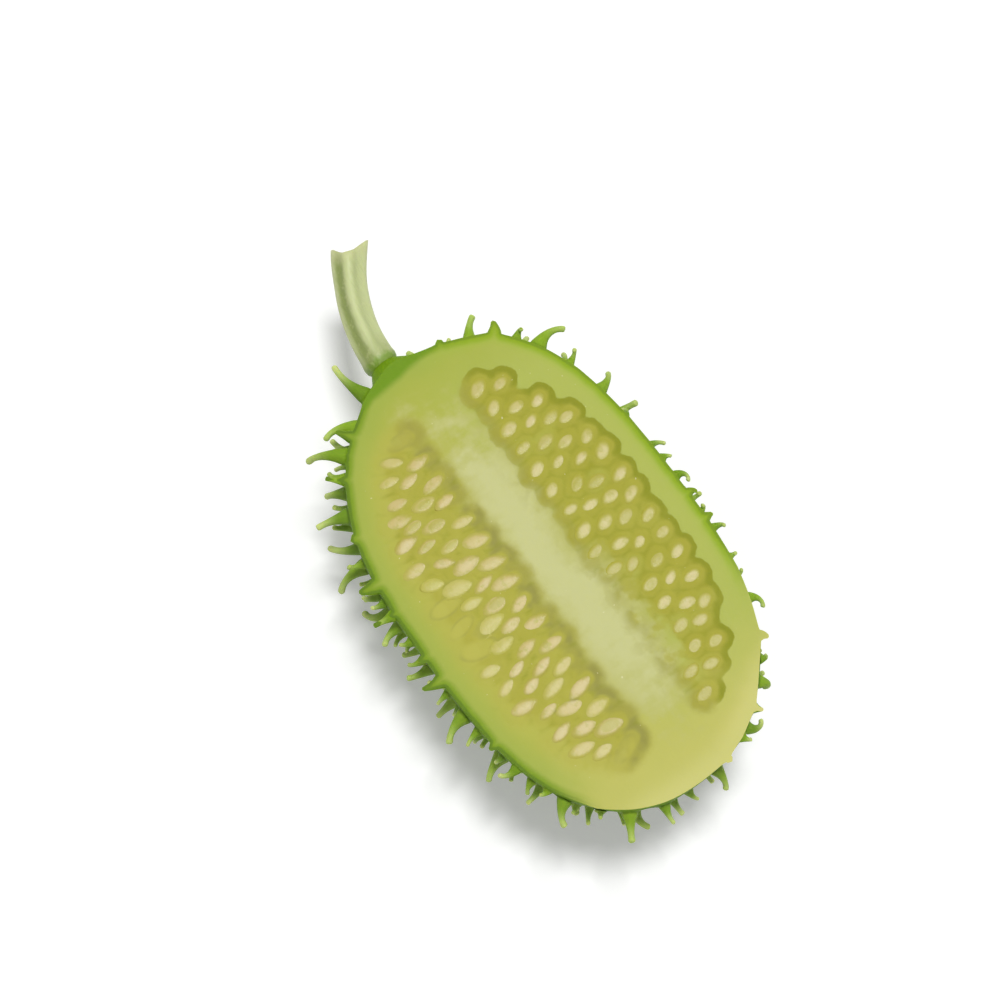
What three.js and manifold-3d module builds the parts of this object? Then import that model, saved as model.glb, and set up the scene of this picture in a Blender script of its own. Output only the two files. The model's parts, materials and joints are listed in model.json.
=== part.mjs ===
// A West Indian gherkin (Cucumis anguria) cut lengthwise: one half, lying on its spiny back with the cut face
// level and facing up. Units are millimetres and +Z is up. +X runs from the stalk end to the blossom end. The
// origin is on the surface that the half rests on, under the middle of its bounding box.
//
// The pieces are the half fruit (rind, spines and flesh grown as one), the stalk, and the seeds the knife
// laid bare. The seeds lie in cross rows in two bands. Each row is one piece: its seeds and their strand.
import * as THREE from "three";
import { mergeVertices } from "three/addons/utils/BufferGeometryUtils.js";
import Module from "manifold-3d";

// Fruit body, along its own axis
const HALF_LENGTH = 32.5;
const MAX_RADIUS = 19.4;
const END_SHARPNESS = 3; // how late the barrel starts to close
const END_ROUNDING = 0.5; // how roundly it closes
const END_SKEW = 1.4; // how far its two ends lean to opposite sides
const NECK_END = -34.6; // where the rind stops and the stalk begins
const NECK_RADIUS = 2.35;
const NECK_FLARE = 0.2; // per mm, how fast the neck widens into the shoulder
const NECK_REACH = 6; // how far behind its end the neck is felt
const NECK_SIDESTEP = -3.4; // the neck sits a little to one side
const BODY_SIDES = 24;
const BARREL_END = 26.6; // the barrel is measured out evenly up to here, and more closely beyond
const BARREL_STATIONS = 8;
const NECK_STATIONS = [0, 1.2, 2.2, 2.9, 3.7, 5]; // from the neck's end
const CLOSE_STATIONS = [0.35, 0.6, 0.8, 0.93]; // shares of a quarter turn

// Cut
const FACE_HEIGHT = 22; // cut face above the resting surface, with the lowest spines pressed over
const AXIS_DEPTH = 1.2; // the fruit's axis below the cut face at mid length
const AXIS_RISE = 2.1 / HALF_LENGTH; // the cut is oblique: the axis nears the face towards the blossom end

// Spines
const SPINE_COUNT = 240; // over the whole fruit
const GOLDEN_ANGLE = Math.PI * (3 - Math.sqrt(5));
const SPIRAL_PHASE = 0.5; // turns the spiral so that the pressed spines lie all round the middle
const SPINE_SCATTER = 1.2; // how far along and around they stray from an even spiral
const BARE_STALK_END = -31.6; // no spines nearer to the neck than this
const BARE_BLOSSOM_END = 32; // nor nearer to the blossom scar than this
const RIM_MARGIN = 1; // a spine rooted up to this far above the cut leaves its lower side behind
const SPINE_LENGTH = 5.2;
const SPINE_SHORTEST = 0.72; // as shares of that length
const SPINE_LONGEST = 1.22;
const BLOSSOM_SHORTENING = 0.35; // spines are shorter towards the blossom end
const SIDE_SHORTENING = 0.22; // and on the +Y side, which lay in the shade
const STOUT_LENGTH = 3.4; // a spine of this length has just the thickness that follows
const STOUTEST = 1.2; // and no spine is thicker than this many times that
const SPINE_TIP = 0.34; // radius
const SPINE_FLARE = 0.75; // added to that at its foot
const FLARE_FALL = 2.6; // how soon the flare is gone
const SPINE_RINGS = [0.25, 0.68]; // shares of its length at which it is measured out
const SPINE_FOOT = 0.8; // how deep its foot sits in the rind
const FOOT_SPREAD = 1.5; // and how much wider it is there
const SPINE_SIDES = 5;
const SPINE_STEPS = 24;
const CURL_LEAST = 0.35; // radians between foot and tip
const CURL_MOST = 1.6;
const SIDE_CURLING = 0.7; // how much more they curl on the +Y side
const CURL_LATE = 1.6; // how much of the curl is kept for the tip
const PRESSED_FLAT = 0.3; // height of a pressed spine's middle line, as a share of its radius

// Seeds
const SEED_ROWS = 16;
const SEED_COLUMNS = 4;
const ROW_PITCH = 3.15;
const COLUMN_PITCH = 2.55;
const ROW_SLANT = 0.22; // the outer seeds of a row lie nearer to the stalk, per mm
const BAND_HALF_LENGTH = 27.5;
const BAND_HALF_WIDTH = 14; // over both bands, to the middle of the outermost seeds
const BAND_SHARPNESS = 3; // how late the bands start to close towards their ends
const BAND_ROUNDING = 0.6; // how roundly they close
const SEED_SIDES = 6;
const SEED_THICKNESS = 1.3;
const SEED_WAIST = [0.8, 0.6]; // how wide a seed is below its middle, and at what share of its depth
const SEED_DEPTH = 0.2; // a seed's middle below the cut face
const SEED_RECESS = 0.06; // the sliced seeds end this far under the flesh
const SEED_FIT = 0.25; // room around a seed in its cell
const SEED_SCATTER = 0.55;
const STRAND_RADIUS = 0.14;
const STRAND_SIDES = 3;
const STRAND_DEPTH = 0.62;
const STRAND_FIT = 0.16;
// The lean is how far seeds are turned from straight across, at the band's stalk end and at its blossom end.
const BANDS = [
  { name: "left", side: -1, firstColumn: 5.3, halfLong: 1.42, halfWide: 0.72, lean: [-0.21, 0.16] },
  { name: "right", side: 1, firstColumn: 5.9, halfLong: 1.12, halfWide: 0.76, lean: [0.46, 0.1] },
];

// Stalk
const STALK_REACH = 15; // from the neck to its tip
const STALK_RADIUS = 2.1;
const STALK_SIDES = 15;
const STALK_GAP = 0.3; // joint line between the neck and the stalk
const STALK_PROFILE = [[1.1, STALK_GAP], [1, 2.2], [0.96, 6], [0.98, 10], [1.03, 12.8], [1.08, STALK_REACH]];
const STALK_STRAIGHT = 0.5; // the share of its reach over which it leaves the neck straight
const STALK_SWERVE = 5.4; // how far its tip has swung sideways
const STALK_DROOP = 0.6;
const STALK_CUT = { back: 0.6, tip: 0.45, turn: -0.75 }; // how far before the tip it is cut, and how aslant
const TENON_RADIUS = 1; // the stalk's woody core runs on into the neck
const TENON_LENGTH = 1.6;

const fruitTilt = Math.atan(AXIS_RISE);

/* Takes the fruit's own frame, with the fruit's axis as x, into the part's before its origin is settled. */
const fruitToPart = new THREE.Matrix4()
  .makeTranslation(0, 0, FACE_HEIGHT - AXIS_DEPTH)
  .multiply(new THREE.Matrix4().makeRotationY(-fruitTilt));

const wasm = await Module();
wasm.setup();

/* A repeatable number from 0 to 1 for the k-th copy of something; `kind` tells its properties apart. */
function chance(k, kind) {
  const wave = Math.sin(k * 12.9898 + kind * 78.233) * 43758.5453;
  return wave - Math.floor(wave);
}

function smoothstep(share) {
  const s = THREE.MathUtils.clamp(share, 0, 1);
  return s * s * (3 - 2 * s);
}

// ---- rind, in the fruit's own frame ----

function rindRadius(x) {
  const share = Math.min(1, Math.abs(x) / HALF_LENGTH);
  const barrel = MAX_RADIUS * (1 - share ** END_SHARPNESS) ** END_ROUNDING;
  if (x > NECK_END + NECK_REACH) return barrel;
  return Math.max(barrel, NECK_RADIUS + NECK_FLARE * (x - NECK_END) ** 2);
}

function sidestep(x) {
  const neck = NECK_SIDESTEP * smoothstep((NECK_END + NECK_REACH - x) / NECK_REACH);
  return neck - END_SKEW * (x / HALF_LENGTH) ** 3;
}

function rindPoint(x, turn) {
  const radius = rindRadius(x);
  return new THREE.Vector3(x, sidestep(x) + radius * Math.cos(turn), radius * Math.sin(turn));
}

function rindNormal(x, turn) {
  const step = 0.05;
  const along = rindPoint(x + step, turn).sub(rindPoint(x - step, turn));
  const around = rindPoint(x, turn + step).sub(rindPoint(x, turn - step));
  return around.cross(along).normalize();
}

// ---- solids ----

function solidFrom(geometry) {
  const bare = geometry.clone();
  bare.deleteAttribute("normal");
  bare.deleteAttribute("uv");
  const merged = mergeVertices(bare, 1e-3);
  const corners = [];
  for (let i = 0; i < merged.index.count; i += 3) {
    const [a, b, c] = [0, 1, 2].map((j) => merged.index.getX(i + j));
    if (a !== b && b !== c && c !== a) corners.push(a, b, c);
  }
  const vertProperties = new Float32Array(merged.attributes.position.array);
  const solidOf = (triVerts) => new wasm.Manifold(new wasm.Mesh({ numProp: 3, vertProperties, triVerts }));
  const solid = solidOf(new Uint32Array(corners));
  return solid.volume() > 0 ? solid : solidOf(new Uint32Array(corners.reverse()));
}

function geometryFrom(solid) {
  const mesh = solid.getMesh();
  const geometry = new THREE.BufferGeometry();
  geometry.setAttribute("position", new THREE.BufferAttribute(mesh.vertProperties, 3));
  geometry.setIndex(new THREE.BufferAttribute(mesh.triVerts, 1));
  return geometry;
}

/* The slab of space between two heights, far wider than the part. */
function slab(low, high) {
  const width = 6 * HALF_LENGTH;
  const box = new THREE.BoxGeometry(width, width, high - low);
  return solidFrom(box.translate(0, 0, (low + high) / 2));
}

/* A turned form bent along a path: `profile` lists [radius, distance along], and `frameAt` gives the path's
   place and its two cross directions at a distance. */
function bentLathe(profile, sides, frameAt) {
  const outline = profile.map(([radius, along]) => new THREE.Vector2(radius, along));
  const geometry = new THREE.LatheGeometry(outline, sides);
  const position = geometry.attributes.position;
  for (let i = 0; i < position.count; i++) {
    const { place, across, up } = frameAt(position.getY(i));
    place.addScaledVector(across, position.getX(i)).addScaledVector(up, position.getZ(i));
    position.setXYZ(i, place.x, place.y, place.z);
  }
  return geometry;
}

// ---- spines ----

/* Stations along the axis that share the rind's area out evenly, one for each spine. */
function spineStations() {
  const steps = 2000;
  const pace = (2 * HALF_LENGTH) / steps;
  const rings = [];
  let total = 0;
  for (let i = 0; i < steps; i++) {
    const x = -HALF_LENGTH + (i + 0.5) * pace;
    const slope = (rindRadius(x + pace / 2) - rindRadius(x - pace / 2)) / pace;
    total += rindRadius(x) * Math.hypot(1, slope) * pace;
    rings.push({ x, total });
  }
  const stations = [];
  for (let k = 0, i = 0; k < SPINE_COUNT; k++) {
    while (rings[i].total < ((k + 0.5) * total) / SPINE_COUNT) i++;
    stations.push(rings[i].x);
  }
  return stations;
}

function spineRoots() {
  const roots = [];
  spineStations().forEach((station, k) => {
    const x = station + SPINE_SCATTER * (chance(k, 1) - 0.5);
    const turn = SPIRAL_PHASE + k * GOLDEN_ANGLE + (SPINE_SCATTER / MAX_RADIUS) * (chance(k, 2) - 0.5);
    if (x < BARE_STALK_END || x > BARE_BLOSSOM_END) return;
    const place = rindPoint(x, turn).applyMatrix4(fruitToPart);
    if (place.z > FACE_HEIGHT + RIM_MARGIN) return;
    const normal = rindNormal(x, turn).transformDirection(fruitToPart);
    roots.push({ k, x, turn, place, normal });
  });
  return roots;
}

/* The way a spine curls: a direction along the rind, square to the spine. At the rim none curls down. */
function curlDirection({ k, place, normal }) {
  const lengthwise = new THREE.Vector3(1, 0, 0).projectOnPlane(normal).normalize();
  const crosswise = normal.clone().cross(lengthwise);
  const way = 2 * Math.PI * chance(k, 3);
  const curl = lengthwise.multiplyScalar(Math.cos(way)).addScaledVector(crosswise, Math.sin(way));
  const climbs = curl.z >= 0 || place.z < FACE_HEIGHT - RIM_MARGIN;
  return climbs ? curl : curl.negate();
}

function spineLength({ k, x, normal }) {
  const towardsBlossom = smoothstep(0.5 + (0.5 * x) / HALF_LENGTH);
  const blossom = 1 - BLOSSOM_SHORTENING * towardsBlossom;
  const side = 1 - SIDE_SHORTENING * Math.max(0, normal.y);
  return SPINE_LENGTH * THREE.MathUtils.lerp(SPINE_SHORTEST, SPINE_LONGEST, chance(k, 4)) * blossom * side;
}

function spineRadius(share, length) {
  return (SPINE_TIP + SPINE_FLARE * (1 - share) ** FLARE_FALL) * Math.min(STOUTEST, length / STOUT_LENGTH);
}

/* The bent middle line of a spine. One that meets the resting surface lies over along it. */
function spinePath(root) {
  const length = spineLength(root);
  const curl = curlDirection(root);
  const curling = 1 + SIDE_CURLING * Math.max(0, root.normal.y);
  const bend = curling * THREE.MathUtils.lerp(CURL_LEAST, CURL_MOST, chance(root.k, 5));
  const level = curl.clone().setZ(0).normalize();
  const places = [root.place.clone()];
  for (let i = 1; i <= SPINE_STEPS; i++) {
    const share = i / SPINE_STEPS;
    const turned = bend * share ** CURL_LATE;
    const way = root.normal.clone().multiplyScalar(Math.cos(turned)).addScaledVector(curl, Math.sin(turned));
    const next = places[i - 1].clone().addScaledVector(way, length / SPINE_STEPS);
    const lowest = PRESSED_FLAT * spineRadius(share, length);
    if (next.z < lowest) {
      next.copy(places[i - 1]).addScaledVector(level, length / SPINE_STEPS);
      next.z = Math.max(lowest, places[i - 1].z - length / SPINE_STEPS);
    }
    places.push(next);
  }
  const across = curl.clone().cross(root.normal).normalize();
  const frameAt = (along) => {
    const count = THREE.MathUtils.clamp((along / length) * SPINE_STEPS, 0, SPINE_STEPS - 1e-6);
    const i = Math.floor(count);
    const place = places[i].clone().lerp(places[i + 1], count - i);
    if (along < 0) place.addScaledVector(root.normal, along);
    const way = places[i + 1].clone().sub(places[i]).normalize();
    return { place, across, up: way.cross(across).normalize() };
  };
  return { length, frameAt };
}

function spine(root) {
  const { length, frameAt } = spinePath(root);
  const rings = SPINE_RINGS.map((share) => [spineRadius(share, length), share * length]);
  const foot = [FOOT_SPREAD * spineRadius(0, length), -SPINE_FOOT / 2];
  const profile = [[0, -SPINE_FOOT], foot, ...rings, [0, length]];
  return solidFrom(bentLathe(profile, SPINE_SIDES, frameAt));
}

// ---- half fruit ----

function wholeBody() {
  const pitch = (2 * BARREL_END) / (BARREL_STATIONS - 1);
  const neck = NECK_STATIONS.map((step) => NECK_END + step);
  const barrel = [...Array(BARREL_STATIONS).keys()].map((i) => i * pitch - BARREL_END);
  const closing = HALF_LENGTH - BARREL_END;
  const close = CLOSE_STATIONS.map((s) => BARREL_END + closing * Math.sin((s * Math.PI) / 2));
  const profile = [...neck, ...barrel, ...close].map((x) => new THREE.Vector2(rindRadius(x), x));
  const outline = [new THREE.Vector2(0, NECK_END), ...profile, new THREE.Vector2(0, HALF_LENGTH)];
  const geometry = new THREE.LatheGeometry(outline, BODY_SIDES).rotateZ(-Math.PI / 2);
  const position = geometry.attributes.position;
  for (let i = 0; i < position.count; i++) {
    position.setY(i, position.getY(i) + sidestep(position.getX(i)));
  }
  return solidFrom(geometry.applyMatrix4(fruitToPart));
}

function halfFruit(cells, socket) {
  let whole = wholeBody();
  for (const root of spineRoots()) whole = whole.add(spine(root));
  const half = whole.intersect(slab(0, FACE_HEIGHT));
  return cells.reduce((left, cell) => left.subtract(cell), half).subtract(socket);
}

// ---- seeds ----

/* Where the seeds of one band lie on the cut face, row by row. */
function seedRows({ side, firstColumn }) {
  const rows = [];
  for (let row = 0; row < SEED_ROWS; row++) {
    const places = [];
    for (let column = 0; column < SEED_COLUMNS; column++) {
      const k = (side < 0 ? 0 : SEED_ROWS * SEED_COLUMNS) + row * SEED_COLUMNS + column;
      const across = firstColumn + column * COLUMN_PITCH + SEED_SCATTER * (chance(k, 6) - 0.5);
      const stagger = column % 2 === 0 ? 0 : ROW_PITCH / 2;
      const even = (row - (SEED_ROWS - 1) / 2) * ROW_PITCH;
      const x = even + stagger - ROW_SLANT * (across - firstColumn) + SEED_SCATTER * (chance(k, 7) - 0.5);
      const share = Math.min(1, Math.abs(x) / BAND_HALF_LENGTH);
      const edge = BAND_HALF_WIDTH * (1 - share ** BAND_SHARPNESS) ** BAND_ROUNDING;
      if (across < edge) places.push(new THREE.Vector3(x, side * across, FACE_HEIGHT));
    }
    if (places.length > 0) rows.push(places);
  }
  return rows;
}

/* One seed, or with `room` the cell that it lies in: an oval across the fruit, deepest in its middle. */
function seed(place, band, room) {
  const deep = SEED_THICKNESS / 2 + room;
  const profile = [[0, -deep], [SEED_WAIST[0], -SEED_WAIST[1] * deep], [1, deep], [0, deep]];
  const outline = profile.map(([radius, height]) => new THREE.Vector2(radius, height));
  const geometry = new THREE.LatheGeometry(outline, SEED_SIDES).rotateX(Math.PI / 2);
  geometry.scale(band.halfWide + room, band.halfLong + room, 1);
  geometry.rotateZ(THREE.MathUtils.lerp(...band.lean, 0.5 + (0.5 * place.x) / BAND_HALF_LENGTH));
  return solidFrom(geometry.translate(place.x, place.y, place.z - SEED_DEPTH));
}

function strand(from, to, room) {
  const reach = from.distanceTo(to);
  const radius = STRAND_RADIUS + room;
  const geometry = new THREE.CylinderGeometry(radius, radius, reach, STRAND_SIDES);
  const middle = from.clone().add(to).multiplyScalar(0.5);
  const turn = Math.atan2(to.y - from.y, to.x - from.x) - Math.PI / 2;
  return solidFrom(geometry.rotateZ(turn).translate(middle.x, middle.y, middle.z - STRAND_DEPTH));
}

/* A row of seeds on its strand, or with room around it the row's cells and the channel between them. */
function seedRow(places, band, seedRoom, strandRoom) {
  const seeds = places.map((place) => seed(place, band, seedRoom));
  const strands = places.slice(1).map((place, i) => strand(places[i], place, strandRoom));
  return [...seeds, ...strands].reduce((joined, solid) => joined.add(solid));
}

// ---- stalk ----

function stalkFrame(along) {
  const root = new THREE.Vector3(NECK_END, sidestep(NECK_END), 0);
  const middle = root.clone().add(new THREE.Vector3(-STALK_STRAIGHT * STALK_REACH, 0, 0));
  const tip = root.clone().add(new THREE.Vector3(-STALK_REACH, STALK_SWERVE, -STALK_DROOP));
  const curve = new THREE.QuadraticBezierCurve3(root, middle, tip);
  const share = along / STALK_REACH;
  const way = curve.getTangent(THREE.MathUtils.clamp(share, 0, 1));
  const place = curve.getPoint(THREE.MathUtils.clamp(share, 0, 1));
  if (share < 0) place.x -= along;
  const across = new THREE.Vector3(0, 0, 1).cross(way).normalize();
  const up = way.clone().cross(across);
  return { place, across, up };
}

function stalk() {
  const rings = STALK_PROFILE.map(([share, along]) => [share * STALK_RADIUS, along]);
  const end = STALK_GAP - TENON_LENGTH;
  const tenon = [[0, end], [TENON_RADIUS, end], [TENON_RADIUS, STALK_GAP]];
  const profile = [...tenon, ...rings, [0, STALK_REACH]];
  const geometry = bentLathe(profile, STALK_SIDES, stalkFrame);
  return solidFrom(geometry.applyMatrix4(fruitToPart)).subtract(obliqueCut());
}

/* The wedge that the secateurs' slanting cut takes off the stalk's tip. */
function obliqueCut() {
  const { place } = stalkFrame(STALK_REACH);
  const size = 8 * STALK_RADIUS;
  const block = new THREE.BoxGeometry(size, size, size).translate(-size / 2 - STALK_CUT.back, 0, 0);
  block.rotateY(STALK_CUT.tip).rotateZ(STALK_CUT.turn);
  return solidFrom(block.translate(place.x, place.y, place.z).applyMatrix4(fruitToPart));
}

function stalkSocket() {
  const radius = TENON_RADIUS + STALK_GAP;
  const profile = [[0, -TENON_LENGTH], [radius, -TENON_LENGTH], [radius, STALK_GAP], [0, STALK_GAP]];
  return solidFrom(bentLathe(profile, STALK_SIDES, stalkFrame).applyMatrix4(fruitToPart));
}

// ---- the part ----

const rind = new THREE.MeshStandardMaterial({ color: 0x5f9433, roughness: 0.45, metalness: 0 });
const stalkSkin = new THREE.MeshStandardMaterial({ color: 0xa9b56b, roughness: 0.6, metalness: 0 });
const seedCoat = new THREE.MeshStandardMaterial({ color: 0xdccb93, roughness: 0.3, metalness: 0 });

function named(name, solid, material) {
  const mesh = new THREE.Mesh(geometryFrom(solid), material.clone());
  mesh.name = name;
  return mesh;
}

const group = new THREE.Group();
const cells = [];
const slicedAt = slab(0, FACE_HEIGHT - SEED_RECESS);
for (const band of BANDS) {
  seedRows(band).forEach((places, i) => {
    const number = String(i + 1).padStart(2, "0");
    const row = seedRow(places, band, 0, 0).intersect(slicedAt);
    group.add(named(`seed_row_${band.name}_${number}`, row, seedCoat));
    cells.push(seedRow(places, band, SEED_FIT, STRAND_FIT));
  });
}
group.add(named("fruit_half", halfFruit(cells, stalkSocket()), rind));
group.add(named("stalk", stalk(), stalkSkin));

const bounds = new THREE.Box3().setFromObject(group);
const middle = bounds.getCenter(new THREE.Vector3());
group.position.set(-middle.x, -middle.y, -bounds.min.z);

export default group;
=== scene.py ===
import json
import math
from bisect import bisect_left
from typing import NamedTuple

import bmesh
import bpy
from mathutils import Matrix, Vector
from mathutils.kdtree import KDTree


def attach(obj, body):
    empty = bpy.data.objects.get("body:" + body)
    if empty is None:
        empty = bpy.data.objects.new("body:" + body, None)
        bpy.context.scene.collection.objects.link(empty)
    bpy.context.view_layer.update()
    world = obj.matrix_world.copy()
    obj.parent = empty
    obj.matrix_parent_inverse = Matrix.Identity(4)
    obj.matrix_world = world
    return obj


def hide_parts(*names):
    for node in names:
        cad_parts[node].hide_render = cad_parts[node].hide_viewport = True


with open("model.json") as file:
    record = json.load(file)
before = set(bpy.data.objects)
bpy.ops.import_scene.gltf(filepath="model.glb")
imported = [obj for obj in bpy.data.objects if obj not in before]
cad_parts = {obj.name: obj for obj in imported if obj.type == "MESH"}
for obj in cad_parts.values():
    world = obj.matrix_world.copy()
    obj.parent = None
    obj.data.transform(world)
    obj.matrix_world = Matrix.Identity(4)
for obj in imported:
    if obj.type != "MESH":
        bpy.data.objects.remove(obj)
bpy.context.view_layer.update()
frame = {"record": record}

bl_info = {
    "name": "West Indian Gherkin Half",
    "version": (1, 0, 0),
    "blender": (4, 5, 0),
    "location": "View3D > Sidebar > Gherkin",
    "description": "Builds half a West Indian gherkin with its spines, seeds and stalk",
    "category": "Object",
}

# Meshes are shaped in millimetres and scaled to metres once, when they are handed over.
MM = 0.001
MOUNTS = {mount["name"]: mount for mount in frame["record"]["mounts"]}
FACE_CENTRE = Vector(MOUNTS["cut_face"]["pos_m"]) / MM
FACE_HEIGHT = FACE_CENTRE.z

# Fruit body, along its own axis
HALF_LENGTH = 32.5
MAX_RADIUS = 19.4
END_SHARPNESS = 3  # how late the body starts to close towards its ends
END_ROUNDING = 0.5  # how roundly it closes
END_SKEW = 1.4  # how far its ends lean aside
NECK_END = -34.6
NECK_RADIUS = 2.35
NECK_FLARE = 0.2
NECK_REACH = 6.0
NECK_SIDESTEP = -3.4
AXIS_DEPTH = 1.2  # the axis below the cut face at mid length
AXIS_RISE = 2.1 / HALF_LENGTH  # the cut is oblique: the axis nears the face towards the blossom end
MERIDIAN_STEPS = 600
CAGE_CUTS = 27
CAGE_CROWDING = 1.15  # the cage's faces are smaller towards the neck

# Spines
SPINE_COUNT = 240  # over the whole fruit
GOLDEN_ANGLE = math.pi * (3 - math.sqrt(5))
SPIRAL_PHASE = 0.5
SPIRAL_STEPS = 2000
SPINE_SCATTER = 1.2  # how far along and around they stray from an even spiral
SMALL_COUNT = 900  # places tried for a small spine between the others
SMALL_PHASE = 2.3
SMALL_ROOM = 2.35  # how far a small spine stays from any other
SMALL_SHORTEST = 0.3  # as shares of the spine length
SMALL_LONGEST = 0.66
BARE_STALK_END = -31.6  # no spines nearer to the neck than this
BARE_BLOSSOM_END = 32.0  # nor nearer to the blossom scar than this
RIM_MARGIN = 1.0  # a spine rooted up to this far above the cut leaves its lower side behind
SPINE_SHORTEST = 0.72  # as shares of the spine length
SPINE_LONGEST = 1.22
BLOSSOM_SHORTENING = 0.35  # spines are shorter towards the blossom end
SIDE_SHORTENING = 0.28  # and on the +Y side
SPINE_TIP = 0.34  # radius
SPINE_FLARE = 0.85  # added to that at its foot
FLARE_FALL = 2.6  # how soon the flare is gone
SPINE_STEPS = 24
CURL_LEAST = 0.35  # radians between foot and tip
CURL_MOST = 1.6
SIDE_CURLING = 1.1  # how much more they curl on the +Y side
CURL_LATE = 1.6  # how much of the curl is kept for the tip
PRESSED_FLAT = 0.3  # height of a pressed spine's middle line, as a share of its radius
STOUT_LENGTH = 3.4  # a spine of this length has just the thickness given above
STOUTEST = 1.2
SLIGHTEST = 0.72
SPINE_FOOT = 1.35  # half the width of the face that a spine grows from
SPINE_RINGS = (0.05, 0.17, 0.34, 0.54, 0.74, 0.9, 1.0)
KNOB_SWELL = 0.35  # how much thicker the knob at a tip may be
KNOB_START = 0.7  # as shares of the spine's length
KNOB_LENGTH = 0.2
RING_SWELL = 1.42  # a four-cornered ring shrinks by this much when it is subdivided
FOOT_SHARE = 0.1  # what the colours follow at a spine's foot
FIRST_RING_SHARE = 0.25  # and just above it
FACES_TRIED = 12
SMOOTHINGS = 4

# Seeds
SEED_ROWS = 16
SEED_COLUMNS = 4
ROW_PITCH = 3.15
COLUMN_PITCH = 2.55
BAND_HALF_LENGTH = 27.5
BAND_HALF_WIDTH = 14.0  # over both bands, to the middle of the outermost seeds
BAND_SHARPNESS = 3  # how late the bands start to close towards their ends
BAND_ROUNDING = 0.6  # how roundly they close
SEED_SCATTER = 0.55
SEED_SWING = 0.65  # how far, in radians, seeds turn from their band's lean
SEED_NARROWEST = 0.82
SEED_BOW = 0.35  # how far a seed's middle line may bend aside
SEED_SMALLEST = 0.74
SEED_LARGEST = 1.2
SEED_SIDES = 14
SEED_RINGS = 9
SEED_LAYERS = ("edge", "tone", "veil", "sliced")
SEED_LIFT = 0.03  # how far a bare seed's flat top stands above the knife's plane
SEED_LIFT_LEAST = 0.6  # and between which shares of that it varies
SEED_LIFT_MOST = 1.4
SEED_FLATNESS = 0.15
SEED_ROLL = 0.03  # how far it tips over its short and its long side
SEED_PITCH = 0.05
SUNK = 0.5  # a seed with a thicker veil than this is under the surface
SUNK_DEPTH = 0.15
THIN_VEIL = 0.4  # the thickest veil over any bare seed
END_VEIL_SPAN = (19.5, 25.5)  # from where to where, from the middle, the veil over a band's ends thickens
OUTER_VEILS = (0.0, 0.0, 0.45, 1.0)  # the thickest in the left band's middle, by column
OUTER_VEIL_SPANS = ((-9.0, -4.0), (8.0, 4.0))  # from where to where, along it, that veil rises and falls
INNER_VEIL_LEAST = 0.45  # the thinnest over the right band's seeds next to the core
INNER_VEIL_SPANS = ((-2.0, 5.0), (23.0, 20.0))
SEED_SHOWN = 0.7  # the share of a seed's size that shows on the face
SEED_SHRINK = 0.95
OUTLINE_POINTS = 16
EDGE_REACH = 1.3  # a seed due this little beyond a band's outline is drawn in to it
EDGE_SIZE = 0.92

# How the flesh lies to the seeds
NEAR_SEEDS = 4.8  # how far a seed is felt in the flesh
CELL_BLEND = 4.5  # how sharply neighbouring cells stay apart
GEL_SINK = 0.04
GEL_SLOPE_START = 1.4  # from a seed's edge to where the gel starts to sink
GEL_SLOPE = 1.2
SEAT_WIDTH = 0.5  # the gel rises again to a bare seed over this width
WEB_WIDTH = 0.8  # where two cells meet
EDGE_PULL = 0.35  # how one-sided the seeds round a point lie where a band's edge starts
EDGE_SPAN = 0.4
EDGE_SHARE = 0.35  # how far a band's outer and inner edges reach round its ends
STALKWARD = 0.35  # how much the outer edge leans towards the stalk end
WEB_START = 0.1  # a web between cells starts this far under a seed's edge
WEB_REACH = 0.5
GHOST_MARGIN = 0.12  # how far past its oval a deep seed shows
GHOST_SOFTNESS = 0.65

# Stalk
STALK_STRAIGHT = 0.5  # the share of its reach over which it leaves the neck straight
STALK_SWERVE = 5.4  # how far its tip has swung sideways
STALK_DROOP = 0.6
STALK_SIDES = 40
STALK_STEPS = 30
STALK_SLEEVE = 0.05  # the share of its reach by which it overlaps the neck
STALK_WAIST = 0.97  # how thick it is in the middle, over its plain radius
STALK_FOOT = 0.17  # how much thicker it is where it meets the neck
STALK_FOOT_FALL = 9  # how soon that is gone
STALK_SLEEVE_FALL = 5  # how soon the sleeve over the neck narrows
STALK_END = 0.12  # how much thicker it is at its far end
STALK_END_START = 0.7  # as shares of its reach
STALK_END_LENGTH = 0.3
STALK_RIBS_START = 0.2  # by this share of its reach the ribs stand at their full height
STALK_RIBS = 5
STALK_RIB_TURN = 0.9
STALK_TWIST = 0.5
STALK_RIB_HEIGHT = 0.085
# painted shade: the side of the stalk whose grooves are painted dark
STALK_SHADE_TURN = 0.95  # the side on which the stalk is darker
TORN_TURN = 0.3  # the side on which its far end is torn shortest
TORN_SLANT = 0.045  # the shares of its reach by which the tear is aslant, and its lobes stand out
TORN_FROM = 0.6
STALK_LIP = (0.3, 0.05)  # width and height of the far end's outer ring
STALK_HOLLOW = (0.35, -0.8)  # and of the hollow inside it

# Cut face
FLESH = 1  # the flesh's place among the fruit's materials
MARKS = ("rim", "cell", "web", "outer", "inner", "ghost", "faint")
BLOCK_MARGIN = 8.0

# Stage
FLOOR_HALF = 3.0
WHITE = (1.0, 1.0, 1.0, 1.0)
FLOOR_GLOW = 0.2
LAMP_ANGLE = math.radians(14)
LAMP_BACK = 0.17
LAMP_SIDE = 0.08
LAMP_RISE = 0.98
SENSOR_WIDTH = 36.0
VIEW_WIDTH = 124.0  # what the picture spans at the cut face
VIEW_RIGHT = -6.37  # the picture's middle, seen from the cut face's
VIEW_BACK = 8.4

FRUIT_PLACE = Matrix.Translation((FACE_CENTRE.x, FACE_CENTRE.y, FACE_HEIGHT - AXIS_DEPTH))
FRUIT_TO_PART = FRUIT_PLACE @ Matrix.Rotation(-math.atan(AXIS_RISE), 4, "Y")


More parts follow.
